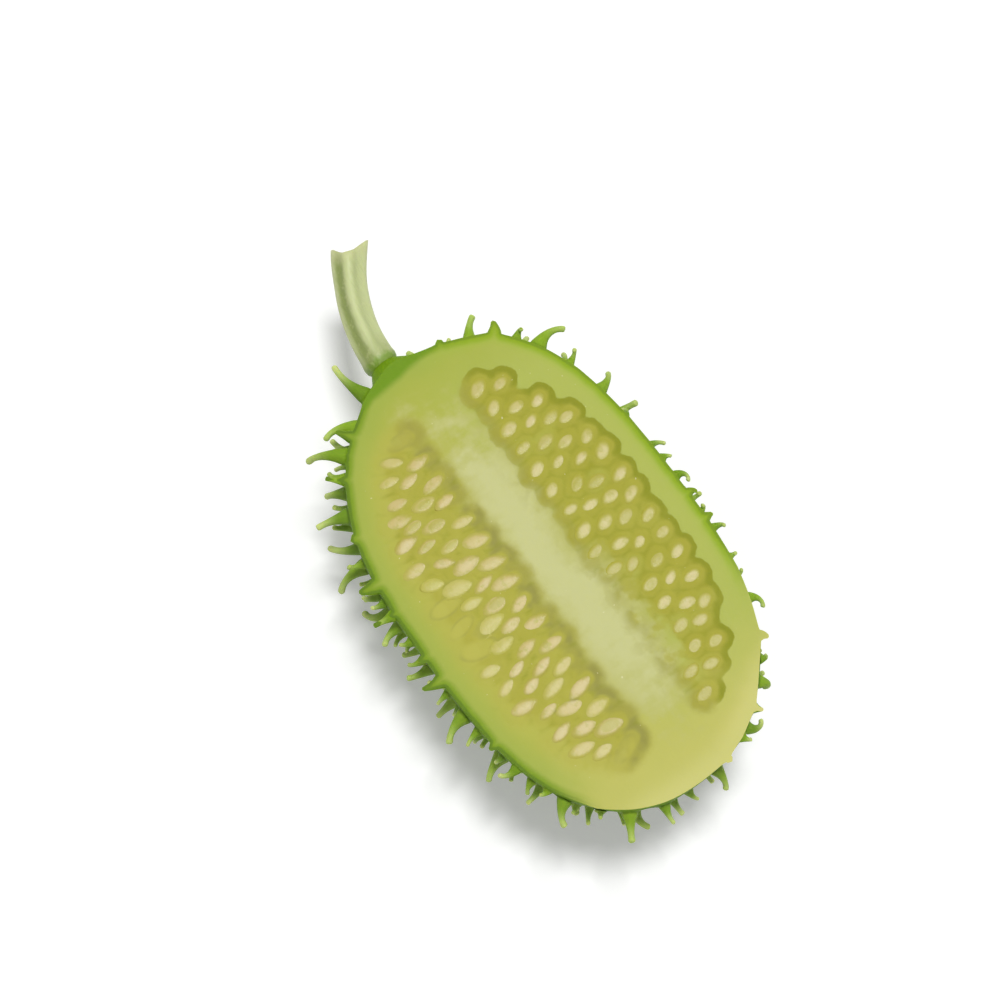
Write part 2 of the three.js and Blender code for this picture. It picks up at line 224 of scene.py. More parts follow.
def chance(k, kind):
    """A repeatable number from 0 to 1 for the k-th copy of something; kind tells its properties apart."""
    wave = math.sin(k * 12.9898 + kind * 78.233) * 43758.5453
    return wave - math.floor(wave)


def lerp(low, high, share):
    return low + (high - low) * share


def smoothstep(share):
    s = min(1.0, max(0.0, share))
    return s * s * (3 - 2 * s)


def ramp(value, low, high):
    """0 up to low, 1 from high on, and a smooth step between them. High may be the smaller one."""
    return smoothstep((value - low) / (high - low))


def hump(value, rising, falling):
    """0, then 1 between two spans, then 0 again. The falling span is given with its far end first."""
    return ramp(value, *rising) * ramp(value, *falling)


# ---- rind, in the fruit's own frame ----


def rind_radius(x):
    share = min(1.0, abs(x) / HALF_LENGTH)
    barrel = MAX_RADIUS * (1 - share**END_SHARPNESS) ** END_ROUNDING
    if x > NECK_END + NECK_REACH:
        return barrel
    return max(barrel, NECK_RADIUS + NECK_FLARE * (x - NECK_END) ** 2)


def sidestep(x):
    neck = NECK_SIDESTEP * smoothstep((NECK_END + NECK_REACH - x) / NECK_REACH)
    return neck - END_SKEW * (x / HALF_LENGTH) ** 3


def rind_point(x, turn):
    radius = rind_radius(x)
    return Vector((x, sidestep(x) + radius * math.cos(turn), radius * math.sin(turn)))


def rind_normal(x, turn):
    step = 0.05
    along = rind_point(x + step, turn) - rind_point(x - step, turn)
    around = rind_point(x, turn + step) - rind_point(x, turn - step)
    return around.cross(along).normalized()


def rind_meridian():
    """The rind's outline from the blossom end to the neck's end: distances along it and its points."""
    middle = (HALF_LENGTH + NECK_END) / 2
    reach = (HALF_LENGTH - NECK_END) / 2
    along = [middle + reach * math.cos(math.pi * i / MERIDIAN_STEPS) for i in range(MERIDIAN_STEPS + 1)]
    outline = [(x, rind_radius(x)) for x in along] + [(NECK_END, 0.0)]
    distances = [0.0]
    for before, after in zip(outline, outline[1:]):
        distances.append(distances[-1] + math.dist(before, after))
    return distances, outline


def along_meridian(meridian, share):
    distances, outline = meridian
    sought = share * distances[-1]
    i = min(len(outline) - 1, max(1, bisect_left(distances, sought)))
    part = (sought - distances[i - 1]) / max(1e-9, distances[i] - distances[i - 1])
    before, after = outline[i - 1], outline[i]
    return lerp(before[0], after[0], part), lerp(before[1], after[1], part)


# ---- spines, as in the frame ----


def spiral(count, phase):
    """Places shared out evenly over the rind: for each its number, place along the axis and turn."""
    pace = 2 * HALF_LENGTH / SPIRAL_STEPS
    rings = []
    total = 0.0
    for i in range(SPIRAL_STEPS):
        x = -HALF_LENGTH + (i + 0.5) * pace
        slope = (rind_radius(x + pace / 2) - rind_radius(x - pace / 2)) / pace
        total += rind_radius(x) * math.hypot(1, slope) * pace
        rings.append((x, total))
    places = []
    i = 0
    for k in range(count):
        while rings[i][1] < (k + 0.5) * total / count:
            i += 1
        x = rings[i][0] + SPINE_SCATTER * (chance(k, 1) - 0.5)
        turn = phase + k * GOLDEN_ANGLE + SPINE_SCATTER / MAX_RADIUS * (chance(k, 2) - 0.5)
        kept = (FRUIT_TO_PART @ rind_point(x, turn)).z <= FACE_HEIGHT + RIM_MARGIN
        if kept and BARE_STALK_END <= x <= BARE_BLOSSOM_END:
            places.append((k, x, turn))
    return places


class Spine:
    """Where one spine grows and the bent middle line that it follows."""

    def __init__(self, k, x, turn, length):
        self.k = k
        self.place = FRUIT_TO_PART @ rind_point(x, turn)
        self.normal = (FRUIT_TO_PART.to_3x3() @ rind_normal(x, turn)).normalized()
        blossom = 1 - BLOSSOM_SHORTENING * smoothstep(0.5 + 0.5 * x / HALF_LENGTH)
        side = 1 - SIDE_SHORTENING * max(0.0, self.normal.y)
        self.length = length * blossom * side
        self.stoutness = max(SLIGHTEST, min(STOUTEST, self.length / STOUT_LENGTH))
        self.curl = self.curl_direction()
        self.across = self.curl.cross(self.normal).normalized()
        self.places = self.bent_line()

    def curl_direction(self):
        lengthwise = Vector((1, 0, 0)) - self.normal * self.normal.x
        lengthwise.normalize()
        crosswise = self.normal.cross(lengthwise)
        way = 2 * math.pi * chance(self.k, 3)
        curl = lengthwise * math.cos(way) + crosswise * math.sin(way)
        climbs = curl.z >= 0 or self.place.z < FACE_HEIGHT - RIM_MARGIN
        return curl if climbs else -curl

    def radius(self, share):
        knob = KNOB_SWELL * chance(self.k, 9) * smoothstep((share - KNOB_START) / KNOB_LENGTH)
        return (SPINE_TIP * (1 + knob) + SPINE_FLARE * (1 - share) ** FLARE_FALL) * self.stoutness

    def bent_line(self):
        curling = 1 + SIDE_CURLING * max(0.0, self.normal.y)
        bend = curling * lerp(CURL_LEAST, CURL_MOST, chance(self.k, 5))
        pace = self.length / SPINE_STEPS
        level = Vector((self.curl.x, self.curl.y, 0)).normalized()
        places = [self.place.copy()]
        for i in range(1, SPINE_STEPS + 1):
            share = i / SPINE_STEPS
            turned = bend * share**CURL_LATE
            way = self.normal * math.cos(turned) + self.curl * math.sin(turned)
            last = places[-1]
            following = last + way * pace
            lowest = PRESSED_FLAT * self.radius(share)
            if following.z < lowest:
                following = last + level * pace
                following.z = max(lowest, last.z - pace)
            places.append(following)
        return places

    def frame_at(self, share):
        count = min(SPINE_STEPS - 1e-6, max(0.0, share * SPINE_STEPS))
        i = int(count)
        place = self.places[i].lerp(self.places[i + 1], count - i)
        way = (self.places[i + 1] - self.places[i]).normalized()
        return place, self.across, way.cross(self.across).normalized()


def grow_spines(length):
    """The spines as in the frame, and small ones in the gaps between them."""
    spines = []
    for k, x, turn in spiral(SPINE_COUNT, SPIRAL_PHASE):
        spines.append(Spine(k, x, turn, length * lerp(SPINE_SHORTEST, SPINE_LONGEST, chance(k, 4))))
    for k, x, turn in spiral(SMALL_COUNT, SMALL_PHASE):
        place = FRUIT_TO_PART @ rind_point(x, turn)
        if min((spine.place - place).length for spine in spines) > SMALL_ROOM:
            share = lerp(SMALL_SHORTEST, SMALL_LONGEST, chance(k, 10))
            spines.append(Spine(SPINE_COUNT + k, x, turn, length * share))
    return spines


# ---- seeds, as in the frame ----


class Band(NamedTuple):
    """One side's band of seeds. Lengths are in millimetres, leans in radians from straight across."""

    name: str
    side: int
    first: float  # from the face's middle line to its first seeds
    half_long: float
    half_wide: float
    half_thick: float
    lean: float  # of its seeds at the stalk end
    lean_end: float  # and at the blossom end
    point: float  # how pointed they are towards the core
    spread: float  # how much their sizes vary
    whole: float  # the share of them that the knife left whole
    end_veil: float  # how thick the veil over its ends is
    slant: float  # how much nearer to the stalk a row's outer seeds lie, per millimetre


BANDS = (
    Band(
        name="left", side=-1, first=5.8, half_long=2.35, half_wide=1.28, half_thick=0.42, lean=-0.21,
        lean_end=0.16, point=0.5, spread=1.0, whole=0.75, end_veil=0.7, slant=0.0,
    ),
    Band(
        name="right", side=1, first=5.9, half_long=1.6, half_wide=1.14, half_thick=0.4, lean=0.46,
        lean_end=0.1, point=0.15, spread=0.55, whole=0.86, end_veil=0.3, slant=0.22,
    ),
)


class Seed:
    """One seed's place, size and turn, and how it shows on the cut face."""

    def __init__(self, band, k, column, x, across, size):
        self.band = band
        self.k = k
        self.place = Vector((FACE_CENTRE.x + x, FACE_CENTRE.y + band.side * across, FACE_HEIGHT))
        share = 0.5 + 0.5 * x / BAND_HALF_LENGTH
        self.turn = lerp(band.lean, band.lean_end, share) + SEED_SWING * (chance(k, 11) - 0.5)
        scale = size * lerp(1, lerp(SEED_SMALLEST, SEED_LARGEST, chance(k, 12)), band.spread)
        self.half_long = band.half_long * scale
        self.half_wide = band.half_wide * scale * lerp(SEED_NARROWEST, 1, chance(k, 18))
        self.half_thick = band.half_thick * scale
        self.bow = SEED_BOW * (chance(k, 19) - 0.5)
        self.sliced = chance(k, 16) > band.whole
        self.veil = self.veiled(column, x)
        lift = SEED_LIFT * lerp(SEED_LIFT_LEAST, SEED_LIFT_MOST, chance(k, 20))
        self.depth = self.half_thick + (SUNK_DEPTH if self.veil > SUNK else -lift)
        self.axis = Vector((-math.sin(self.turn), math.cos(self.turn)))

    def veiled(self, column, x):
        """From 0 for a seed that the knife laid bare to 1 for one just under the surface."""
        veils = [self.band.end_veil * ramp(abs(x), *END_VEIL_SPAN), THIN_VEIL * chance(self.k, 21) ** 2]
        if self.band.side < 0:
            veils.append(OUTER_VEILS[column] * hump(x, *OUTER_VEIL_SPANS))
        elif column == 0:
            veils.append(lerp(INNER_VEIL_LEAST, 1, chance(self.k, 17)) * hump(x, *INNER_VEIL_SPANS))
        return max(veils)

    def touches(self, other):
        """Whether the part of this seed that shows on the face would reach into the other's."""
        for i in range(OUTLINE_POINTS):
            turn = math.tau * i / OUTLINE_POINTS
            along = self.axis * math.cos(turn) * self.half_long
            aside = Vector((self.axis.y, -self.axis.x)) * math.sin(turn) * self.half_wide
            if other.inside(self.place.to_2d() + (along + aside) * SEED_SHOWN) > 1 - SEED_SHOWN:
                return True
        return False

    def shrink(self):
        self.half_long *= SEED_SHRINK
        self.half_wide *= SEED_SHRINK

    def distance(self, point):
        """How far a point of the cut face is from the seed's long middle line."""
        apart = Vector((point[0] - self.place.x, point[1] - self.place.y))
        straight = max(0.0, self.half_long - self.half_wide)
        along = max(-straight, min(straight, apart.dot(self.axis)))
        return (apart - self.axis * along).length

    def inside(self, point):
        """1 at the seed's middle, 0 at its oval edge and less beyond it."""
        apart = Vector((point[0] - self.place.x, point[1] - self.place.y))
        along = apart.dot(self.axis)
        aside = apart.x * self.axis.y - apart.y * self.axis.x
        return 1 - math.hypot(along / self.half_long, aside / self.half_wide)


class Seeds:
    """All the seeds, in rows, with a quick way to find those near a point."""

    def __init__(self, size):
        self.rows = {band.name: self.band_rows(band, size) for band in BANDS}
        self.all = [seed for rows in self.rows.values() for row in rows for seed in row]
        self.tree = KDTree(len(self.all))
        for i, seed in enumerate(self.all):
            self.tree.insert((seed.place.x, seed.place.y, 0), i)
        self.tree.balance()
        self.part()

    def part(self):
        """Shrinks seeds until none that shows reaches into another."""
        shown = [seed for seed in self.all if seed.veil <= SUNK]
        close = [(a, b) for a in shown for b in shown if (a.place - b.place).length < NEAR_SEEDS]
        pairs = [(a, b) for a, b in close if a is not b]
        touching = True
        while touching:
            touching = {seed for a, b in pairs if a.touches(b) for seed in (a, b)}
            for seed in touching:
                seed.shrink()

    def band_rows(self, band, size):
        rows = []
        for row in range(SEED_ROWS):
            seeds = []
            for column in range(SEED_COLUMNS):
                k = (0 if band.side < 0 else SEED_ROWS * SEED_COLUMNS) + row * SEED_COLUMNS + column
                across = band.first + column * COLUMN_PITCH + SEED_SCATTER * (chance(k, 6) - 0.5)
                stagger = 0 if column % 2 == 0 else ROW_PITCH / 2
                even = (row - (SEED_ROWS - 1) / 2) * ROW_PITCH
                x = even + stagger - band.slant * (across - band.first) + SEED_SCATTER * (chance(k, 7) - 0.5)
                share = min(1.0, abs(x) / BAND_HALF_LENGTH)
                limit = BAND_HALF_WIDTH * (1 - share**BAND_SHARPNESS) ** BAND_ROUNDING
                if across < limit:
                    seeds.append(Seed(band, k, column, x, across, size))
                elif across < limit + EDGE_REACH and share < 1:
                    seeds.append(Seed(band, k, column, x, limit, size * EDGE_SIZE))
            if seeds:
                rows.append(seeds)
        return rows

    def near(self, point):
        found = self.tree.find_range((point[0], point[1], 0), NEAR_SEEDS)
        return [self.all[i] for _, i, _ in found]

    def marks(self, point):
        """What the flesh's colours follow at a point: how far it is from the nearest seed's edge in
        millimetres, whether two cells meet there, how much it lies on the outer or the core's edge of a band,
        how strongly a deep seed shows there, and how deep the seeds round it lie."""
        near = self.near(point)
        if not near:
            return {"cell": NEAR_SEEDS, "web": 0.0, "outer": 0.0, "inner": 0.0, "ghost": 0.0, "faint": 0.0}
        margins = sorted(seed.distance(point) - seed.half_wide for seed in near)
        web = smoothstep(1 - (margins[1] - margins[0]) / WEB_WIDTH) if len(margins) > 1 else 0.0
        pull = Vector((0, 0))
        total = crowd = faint = closeness = 0.0
        for seed in near:
            apart = Vector((point[0] - seed.place.x, point[1] - seed.place.y))
            weight = max(0.0, 1 - apart.length / NEAR_SEEDS) ** 2
            pull += apart.normalized() * weight
            total += weight
            faint += seed.veil * weight**3
            closeness += weight**3
            crowd += math.exp(-CELL_BLEND * (seed.distance(point) - seed.half_wide))
        pull /= max(1e-6, total)
        edge = smoothstep((pull.length - EDGE_PULL) / EDGE_SPAN)
        side = near[0].band.side
        outward = (side * pull.y - STALKWARD * pull.x) / max(1e-6, pull.length)
        shows = [smoothstep((seed.inside(point) + GHOST_MARGIN) / GHOST_SOFTNESS) for seed in near]
        ghost = max(seed.veil * show for seed, show in zip(near, shows))
        return {
            "cell": -math.log(crowd) / CELL_BLEND,
            "web": web * smoothstep((margins[0] + WEB_START) / WEB_REACH),
            "outer": edge * smoothstep(EDGE_SHARE + outward),
            "inner": edge * smoothstep(EDGE_SHARE - outward),
            "ghost": ghost,
            "faint": faint / max(1e-6, closeness),
        }


# ---- mesh helpers ----


def put_in_scene(name, data):
    thing = bpy.data.objects.new(name, data)
    bpy.context.scene.collection.objects.link(thing)
    return thing


def linked(name, bm, materials):
    mesh = bpy.data.meshes.new(name)
    bm.to_mesh(mesh)
    bm.free()
    for material in materials:
        mesh.materials.append(material)
    return put_in_scene(name, mesh)


def finished(name, bm, materials, slot, *nodes):
    """Makes a millimetre mesh a piece of the object, in metres, and hides the imported parts of the nodes that
    it stands for.
    """
    bmesh.ops.scale(bm, vec=(MM, MM, MM), verts=bm.verts)
    piece = linked(name, bm, materials)
    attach(piece, "root")
    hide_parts(*nodes)
    return piece


# ---- half fruit ----


def rind_cage():
    """The whole fruit as a coarse cage of even, four-sided faces."""
    bm = bmesh.new()
    bmesh.ops.create_cube(bm, size=2)
    bmesh.ops.subdivide_edges(bm, edges=bm.edges, cuts=CAGE_CUTS, use_grid_fill=True)
    meridian = rind_meridian()
    for vert in bm.verts:
        way = Vector([math.tan(c * math.pi / 4) for c in vert.co]).normalized()
        share = math.acos(max(-1.0, min(1.0, way.x))) / math.pi
        x, radius = along_meridian(meridian, 1 - (1 - share) ** CAGE_CROWDING)
        turn = math.atan2(way.z, way.y)
        y, z = radius * math.cos(turn), radius * math.sin(turn)
        vert.co = FRUIT_TO_PART @ Vector((x, sidestep(x) + y, z))
    bmesh.ops.recalc_face_normals(bm, faces=bm.faces)
    return bm


def nearest_free_face(faces, tree, place, taken):
    for _, index, _ in tree.find_n(place, FACES_TRIED):
        face = faces[index]
        if not taken.intersection(face.verts):
            return face
    return None


def square_corners(face, spine):
    """The angles, seen along a spine, at which its rings' corners lie: evenly spaced, close to the face's."""
    up = spine.normal.cross(spine.across).normalized()
    turns = []
    for vert in face.verts:
        apart = vert.co - spine.place
        turns.append(math.atan2(apart.dot(up), apart.dot(spine.across)))
    around = 1 if math.sin(turns[1] - turns[0]) > 0 else -1
    quarter = around * math.pi / 2
    starts = [turn - i * quarter for i, turn in enumerate(turns)]
    start = math.atan2(sum(map(math.sin, starts)), sum(map(math.cos, starts)))
    return [start + i * quarter for i in range(4)]


def root_spines(bm, spines):
    """Moves one face of the cage under each spine and squares it up. Gives spines, faces and corners."""
    faces = list(bm.faces)
    tree = KDTree(len(faces))
    for i, face in enumerate(faces):
        tree.insert(face.calc_center_median(), i)
    tree.balance()
    taken = set()
    rooted = []
    for spine in spines:
        face = nearest_free_face(faces, tree, spine.place, taken)
        if face is None:
            continue
        corners = square_corners(face, spine)
        up = spine.normal.cross(spine.across).normalized()
        for vert, turn in zip(face.verts, corners):
            offset = spine.across * math.cos(turn) + up * math.sin(turn)
            vert.co = spine.place + offset * SPINE_FOOT * spine.stoutness
        taken.update(face.verts)
        rooted.append((spine, face, corners))
    loose = [vert for vert in bm.verts if vert not in taken]
    for _ in range(SMOOTHINGS):
        bmesh.ops.smooth_vert(
            bm, verts=loose, factor=0.5, use_axis_x=True, use_axis_y=True, use_axis_z=True
        )
    return rooted


def nearest_corners(places, face):
    """For each corner of a face, the number of the place that it lies at."""
    return [min(range(len(places)), key=lambda i: (places[i] - vert.co).length) for vert in face.verts]


def draw_out_spines(bm, rooted):
    share_layer = bm.verts.layers.float.new("spine")
    tone_layer = bm.verts.layers.float.new("tone")
    for spine, face, corners in rooted:
        tone = chance(spine.k, 8)
        for vert in face.verts:
            vert.co.z = max(0.0, vert.co.z)
            vert[share_layer] = FOOT_SHARE
            vert[tone_layer] = tone
        for share in SPINE_RINGS:
            before = [vert.co.copy() for vert in face.verts]
            face = bmesh.ops.extrude_discrete_faces(bm, faces=[face])["faces"][0]
            corners = [corners[i] for i in nearest_corners(before, face)]
            place, across, up = spine.frame_at(share)
            reach = RING_SWELL * spine.radius(share)
            for vert, turn in zip(face.verts, corners):
                vert.co = place + (across * math.cos(turn) + up * math.sin(turn)) * reach
                vert.co.z = max(0.0, vert.co.z)
                vert[share_layer] = lerp(FIRST_RING_SHARE, 1, share)
                vert[tone_layer] = tone


def gel_relief(point, seeds):
    """How far the soft flesh round the seeds stands below the knife's plane, in millimetres."""
    near = seeds.near(point)
    if not near:
        return 0.0
    cell, sunk = min((seed.distance(point) - seed.half_wide, seed.veil > SUNK) for seed in near)
    hollow = GEL_SINK * smoothstep((GEL_SLOPE_START - cell) / GEL_SLOPE)
    return hollow if sunk else hollow * smoothstep((cell + SEAT_WIDTH / 2) / SEAT_WIDTH)


def cutting_block(pitch, seeds):
    """A block whose top is the knife's plane as a fine grid, sunk a little round the seeds."""
    half_x = HALF_LENGTH + BLOCK_MARGIN
    half_y = MAX_RADIUS + BLOCK_MARGIN
    bm = bmesh.new()
    columns, rows = round(2 * half_x / pitch), round(2 * half_y / pitch)
    bmesh.ops.create_grid(bm, x_segments=columns, y_segments=rows, size=1)
    bmesh.ops.scale(bm, vec=(half_x, half_y, 1), verts=bm.verts)
    bmesh.ops.translate(bm, vec=FACE_CENTRE, verts=bm.verts)
    for vert in bm.verts:
        vert.co.z -= gel_relief(vert.co, seeds)
    rim = [edge for edge in bm.edges if edge.is_boundary]
    skirt = bmesh.ops.extrude_edge_only(bm, edges=rim)["geom"]
    low = [part for part in skirt if isinstance(part, bmesh.types.BMVert)]
    bmesh.ops.translate(bm, vec=(0, 0, -2 * FACE_HEIGHT), verts=low)
    bmesh.ops.contextual_create(bm, geom=[part for part in skirt if isinstance(part, bmesh.types.BMEdge)])
    bmesh.ops.recalc_face_normals(bm, faces=bm.faces)
    for face in bm.faces:
        face.material_index = FLESH
    return bm


def cut_by(bm, block_bm, materials):
    """The spiny body subdivided and cut off level by the block."""
    body = linked("spiny_body", bm, materials)
    block = linked("cutting_block", block_bm, materials)
    finer = body.modifiers.new("Finer", "SUBSURF")
    finer.levels = finer.render_levels = 1
    cut = body.modifiers.new("Cut", "BOOLEAN")
    cut.operation = "INTERSECT"
    cut.solver = "MANIFOLD"
    cut.object = block
    result = bpy.data.meshes.new_from_object(body.evaluated_get(bpy.context.evaluated_depsgraph_get()))
    half = bmesh.new()
    half.from_mesh(result)
    for spare in (body, block):
        bpy.data.objects.remove(spare)
    bpy.data.meshes.remove(result)
    if not any(face.material_index == FLESH for face in half.faces):
        raise RuntimeError("The fruit was not cut: its half has no flesh face")
    return half


def drop_loose_tips(bm):
    """Deletes the spine tips that the knife cut off."""
    unseen = set(bm.verts)
    parts = []
    while unseen:
        part = {unseen.pop()}
        reached = list(part)
        while reached:
            vert = reached.pop()
            for edge in vert.link_edges:
                other = edge.other_vert(vert)
                if other not in part:
                    part.add(other)
                    reached.append(other)
        unseen -= part
        parts.append(part)
    parts.sort(key=len)
    bmesh.ops.delete(bm, geom=[vert for part in parts[:-1] for vert in part], context="VERTS")


def mark_flesh(bm, seeds):
    """Writes what the flesh's colours follow: how far each point is from the rim and the seeds."""
    rim_verts = []
    for edge in bm.edges:
        if len({face.material_index for face in edge.link_faces}) == 2:
            edge.smooth = False
            rim_verts.extend(edge.verts)
    tree = KDTree(len(rim_verts))
    for i, vert in enumerate(rim_verts):
        tree.insert(vert.co, i)
    tree.balance()
    layers = {name: bm.verts.layers.float.new(name) for name in MARKS}
    flesh = {vert for face in bm.faces if face.material_index == FLESH for vert in face.verts}
    for vert in flesh:
        vert[layers["rim"]] = tree.find(vert.co)[2]
        for name, value in seeds.marks(vert.co).items():
            vert[layers[name]] = value


# ---- seeds ----


def seed_part(bm, seed):
    """Adds one seed: a flattened oval whose end towards the core may come to a point."""
    before = set(bm.verts)
    bmesh.ops.create_uvsphere(bm, u_segments=SEED_SIDES, v_segments=SEED_RINGS, radius=1)
    verts = [vert for vert in bm.verts if vert not in before]
    layers = {name: bm.verts.layers.float[name] for name in SEED_LAYERS}
    for vert in verts:
        vert[layers["edge"]] = math.hypot(vert.co.x, vert.co.y)
        vert[layers["tone"]] = chance(seed.k, 13)
        vert[layers["veil"]] = seed.veil
        vert[layers["sliced"]] = 1.0 if seed.sliced else 0.0
        towards_core = max(0.0, -seed.band.side * vert.co.y)
        vert.co.x *= 1 - seed.band.point * towards_core**2
        vert.co.x += seed.bow * vert.co.y**2
        vert.co.z = math.copysign(abs(vert.co.z) ** SEED_FLATNESS, vert.co.z)
    size = Matrix.Diagonal((seed.half_wide, seed.half_long, seed.half_thick, 1))
    roll = Matrix.Rotation(SEED_ROLL * (chance(seed.k, 14) - 0.5), 4, "X")
    pitch = Matrix.Rotation(SEED_PITCH * (chance(seed.k, 15) - 0.5), 4, "Y")
    turn = Matrix.Rotation(seed.turn, 4, "Z")
    place = Matrix.Translation(seed.place - Vector((0, 0, seed.depth)))
    bmesh.ops.transform(bm, matrix=place @ turn @ (roll @ pitch) @ size, verts=verts)


def build_seed_row(seeds, name, node, material):
    bm = bmesh.new()
    for layer in SEED_LAYERS:
        bm.verts.layers.float.new(layer)
    for seed in seeds:
        seed_part(bm, seed)
    for face in bm.faces:
        face.smooth = True
    return finished(name, bm, [material], "seed", node)


# ---- stalk ----


def stalk_line(reach):
    """A function from a share of the stalk's length to a place and the directions across and up there."""
    root = Vector((NECK_END, sidestep(NECK_END), 0))
    middle = root + Vector((-STALK_STRAIGHT * reach, 0, 0))
    tip = root + Vector((-reach, STALK_SWERVE, -STALK_DROOP))
    turned = FRUIT_TO_PART.to_3x3()

    def at(share):
        place = root * (1 - share) ** 2 + middle * (2 * share * (1 - share)) + tip * share**2
        way = (middle - root) * (1 - share) + (tip - middle) * share
        way.normalize()
        across = Vector((0, 0, 1)).cross(way).normalized()
        return FRUIT_TO_PART @ place, turned @ across, turned @ way.cross(across)

    return at


def stalk_thickness(share):
    """The stalk's radius over its plain radius: spread over the neck, thin in the middle, wider at its end."""
    foot = STALK_FOOT * (1 - share) ** STALK_FOOT_FALL if share > 0 else STALK_FOOT + STALK_SLEEVE_FALL * share
    return STALK_WAIST + foot + STALK_END * smoothstep((share - STALK_END_START) / STALK_END_LENGTH)


def stalk_shortfall(turn):
    """The share of its reach by which the stalk ends short at an angle: torn aslant, with two lobes."""
    return TORN_SLANT * math.cos(turn - TORN_TURN) - TORN_SLANT * math.cos(2 * turn) - 0.01


def build_stalk(settings, materials):
    bm = bmesh.new()
    rib = bm.verts.layers.float.new("rib")
    shade = bm.verts.layers.float.new("shade")
    length_layer = bm.verts.layers.float.new("length")
    bmesh.ops.create_circle(bm, cap_ends=True, segments=STALK_SIDES, radius=1)
    at = stalk_line(settings.stalk_reach / MM)
    face = list(bm.faces)[0]
    turns = [math.atan2(vert.co.y, vert.co.x) for vert in face.verts]
    for step in range(STALK_STEPS + 1):
        share = lerp(-STALK_SLEEVE, 1, step / STALK_STEPS)
        if step:
            before = [vert.co.copy() for vert in face.verts]
            face = bmesh.ops.extrude_discrete_faces(bm, faces=[face])["faces"][0]
            turns = [turns[i] for i in nearest_corners(before, face)]
        torn = smoothstep((share - TORN_FROM) / (1 - TORN_FROM))
        for vert, turn in zip(face.verts, turns):
            place, across, up = at(share * (1 - stalk_shortfall(turn) * torn))
            ridge = math.cos(STALK_RIBS * (turn + STALK_RIB_TURN) + STALK_TWIST * share)
            height = STALK_RIB_HEIGHT * smoothstep(share / STALK_RIBS_START)
            radius = settings.stalk_radius / MM * stalk_thickness(share) * (1 + height * ridge)
            vert.co = place + (across * math.cos(turn) + up * math.sin(turn)) * radius
            vert[rib] = 0.5 + 0.5 * ridge
            # painted shade: how far each point faces the stalk's darker side
            vert[shade] = max(0.0, math.cos(turn - STALK_SHADE_TURN)) ** 2
            vert[length_layer] = share
    bmesh.ops.recalc_face_normals(bm, faces=bm.faces)
    ends = [face for face in bm.faces if len(face.verts) == STALK_SIDES]
    end = [face for face in ends if face.verts[0][length_layer] > 0.5]
    for thickness, depth in (STALK_LIP, STALK_HOLLOW):
        bmesh.ops.inset_region(bm, faces=end, thickness=thickness, depth=depth)
    bmesh.ops.poke(bm, faces=end)
    for face in bm.faces:
        face.smooth = True
    return finished("fruit_stalk", bm, materials, "stalk", "stalk")


# ---- materials ----


def paint(red, green, blue):
    """A colour written from 0 to 255 as a screen shows it, as the linear one that Blender keeps."""
    shares = [c / 255 for c in (red, green, blue)]
    return tuple(c / 12.92 if c <= 0.04045 else ((c + 0.055) / 1.055) ** 2.4 for c in shares)


class Wire:
    """A number or colour that varies over a surface. Sums and products of wires add nodes."""

    def __init__(self, finish, socket):
        self.finish = finish
        self.socket = socket

    def __add__(self, other):
        return self.finish.math("ADD", self, other)

    def __radd__(self, other):
        return self.finish.math("ADD", other, self)

    def __sub__(self, other):
        return self.finish.math("SUBTRACT", self, other)

    def __rsub__(self, other):
        return self.finish.math("SUBTRACT", other, self)

    def __mul__(self, other):
        return self.finish.math("MULTIPLY", self, other)

    def __rmul__(self, other):
        return self.finish.math("MULTIPLY", other, self)

    def __abs__(self):
        return self.finish.math("ABSOLUTE", self)


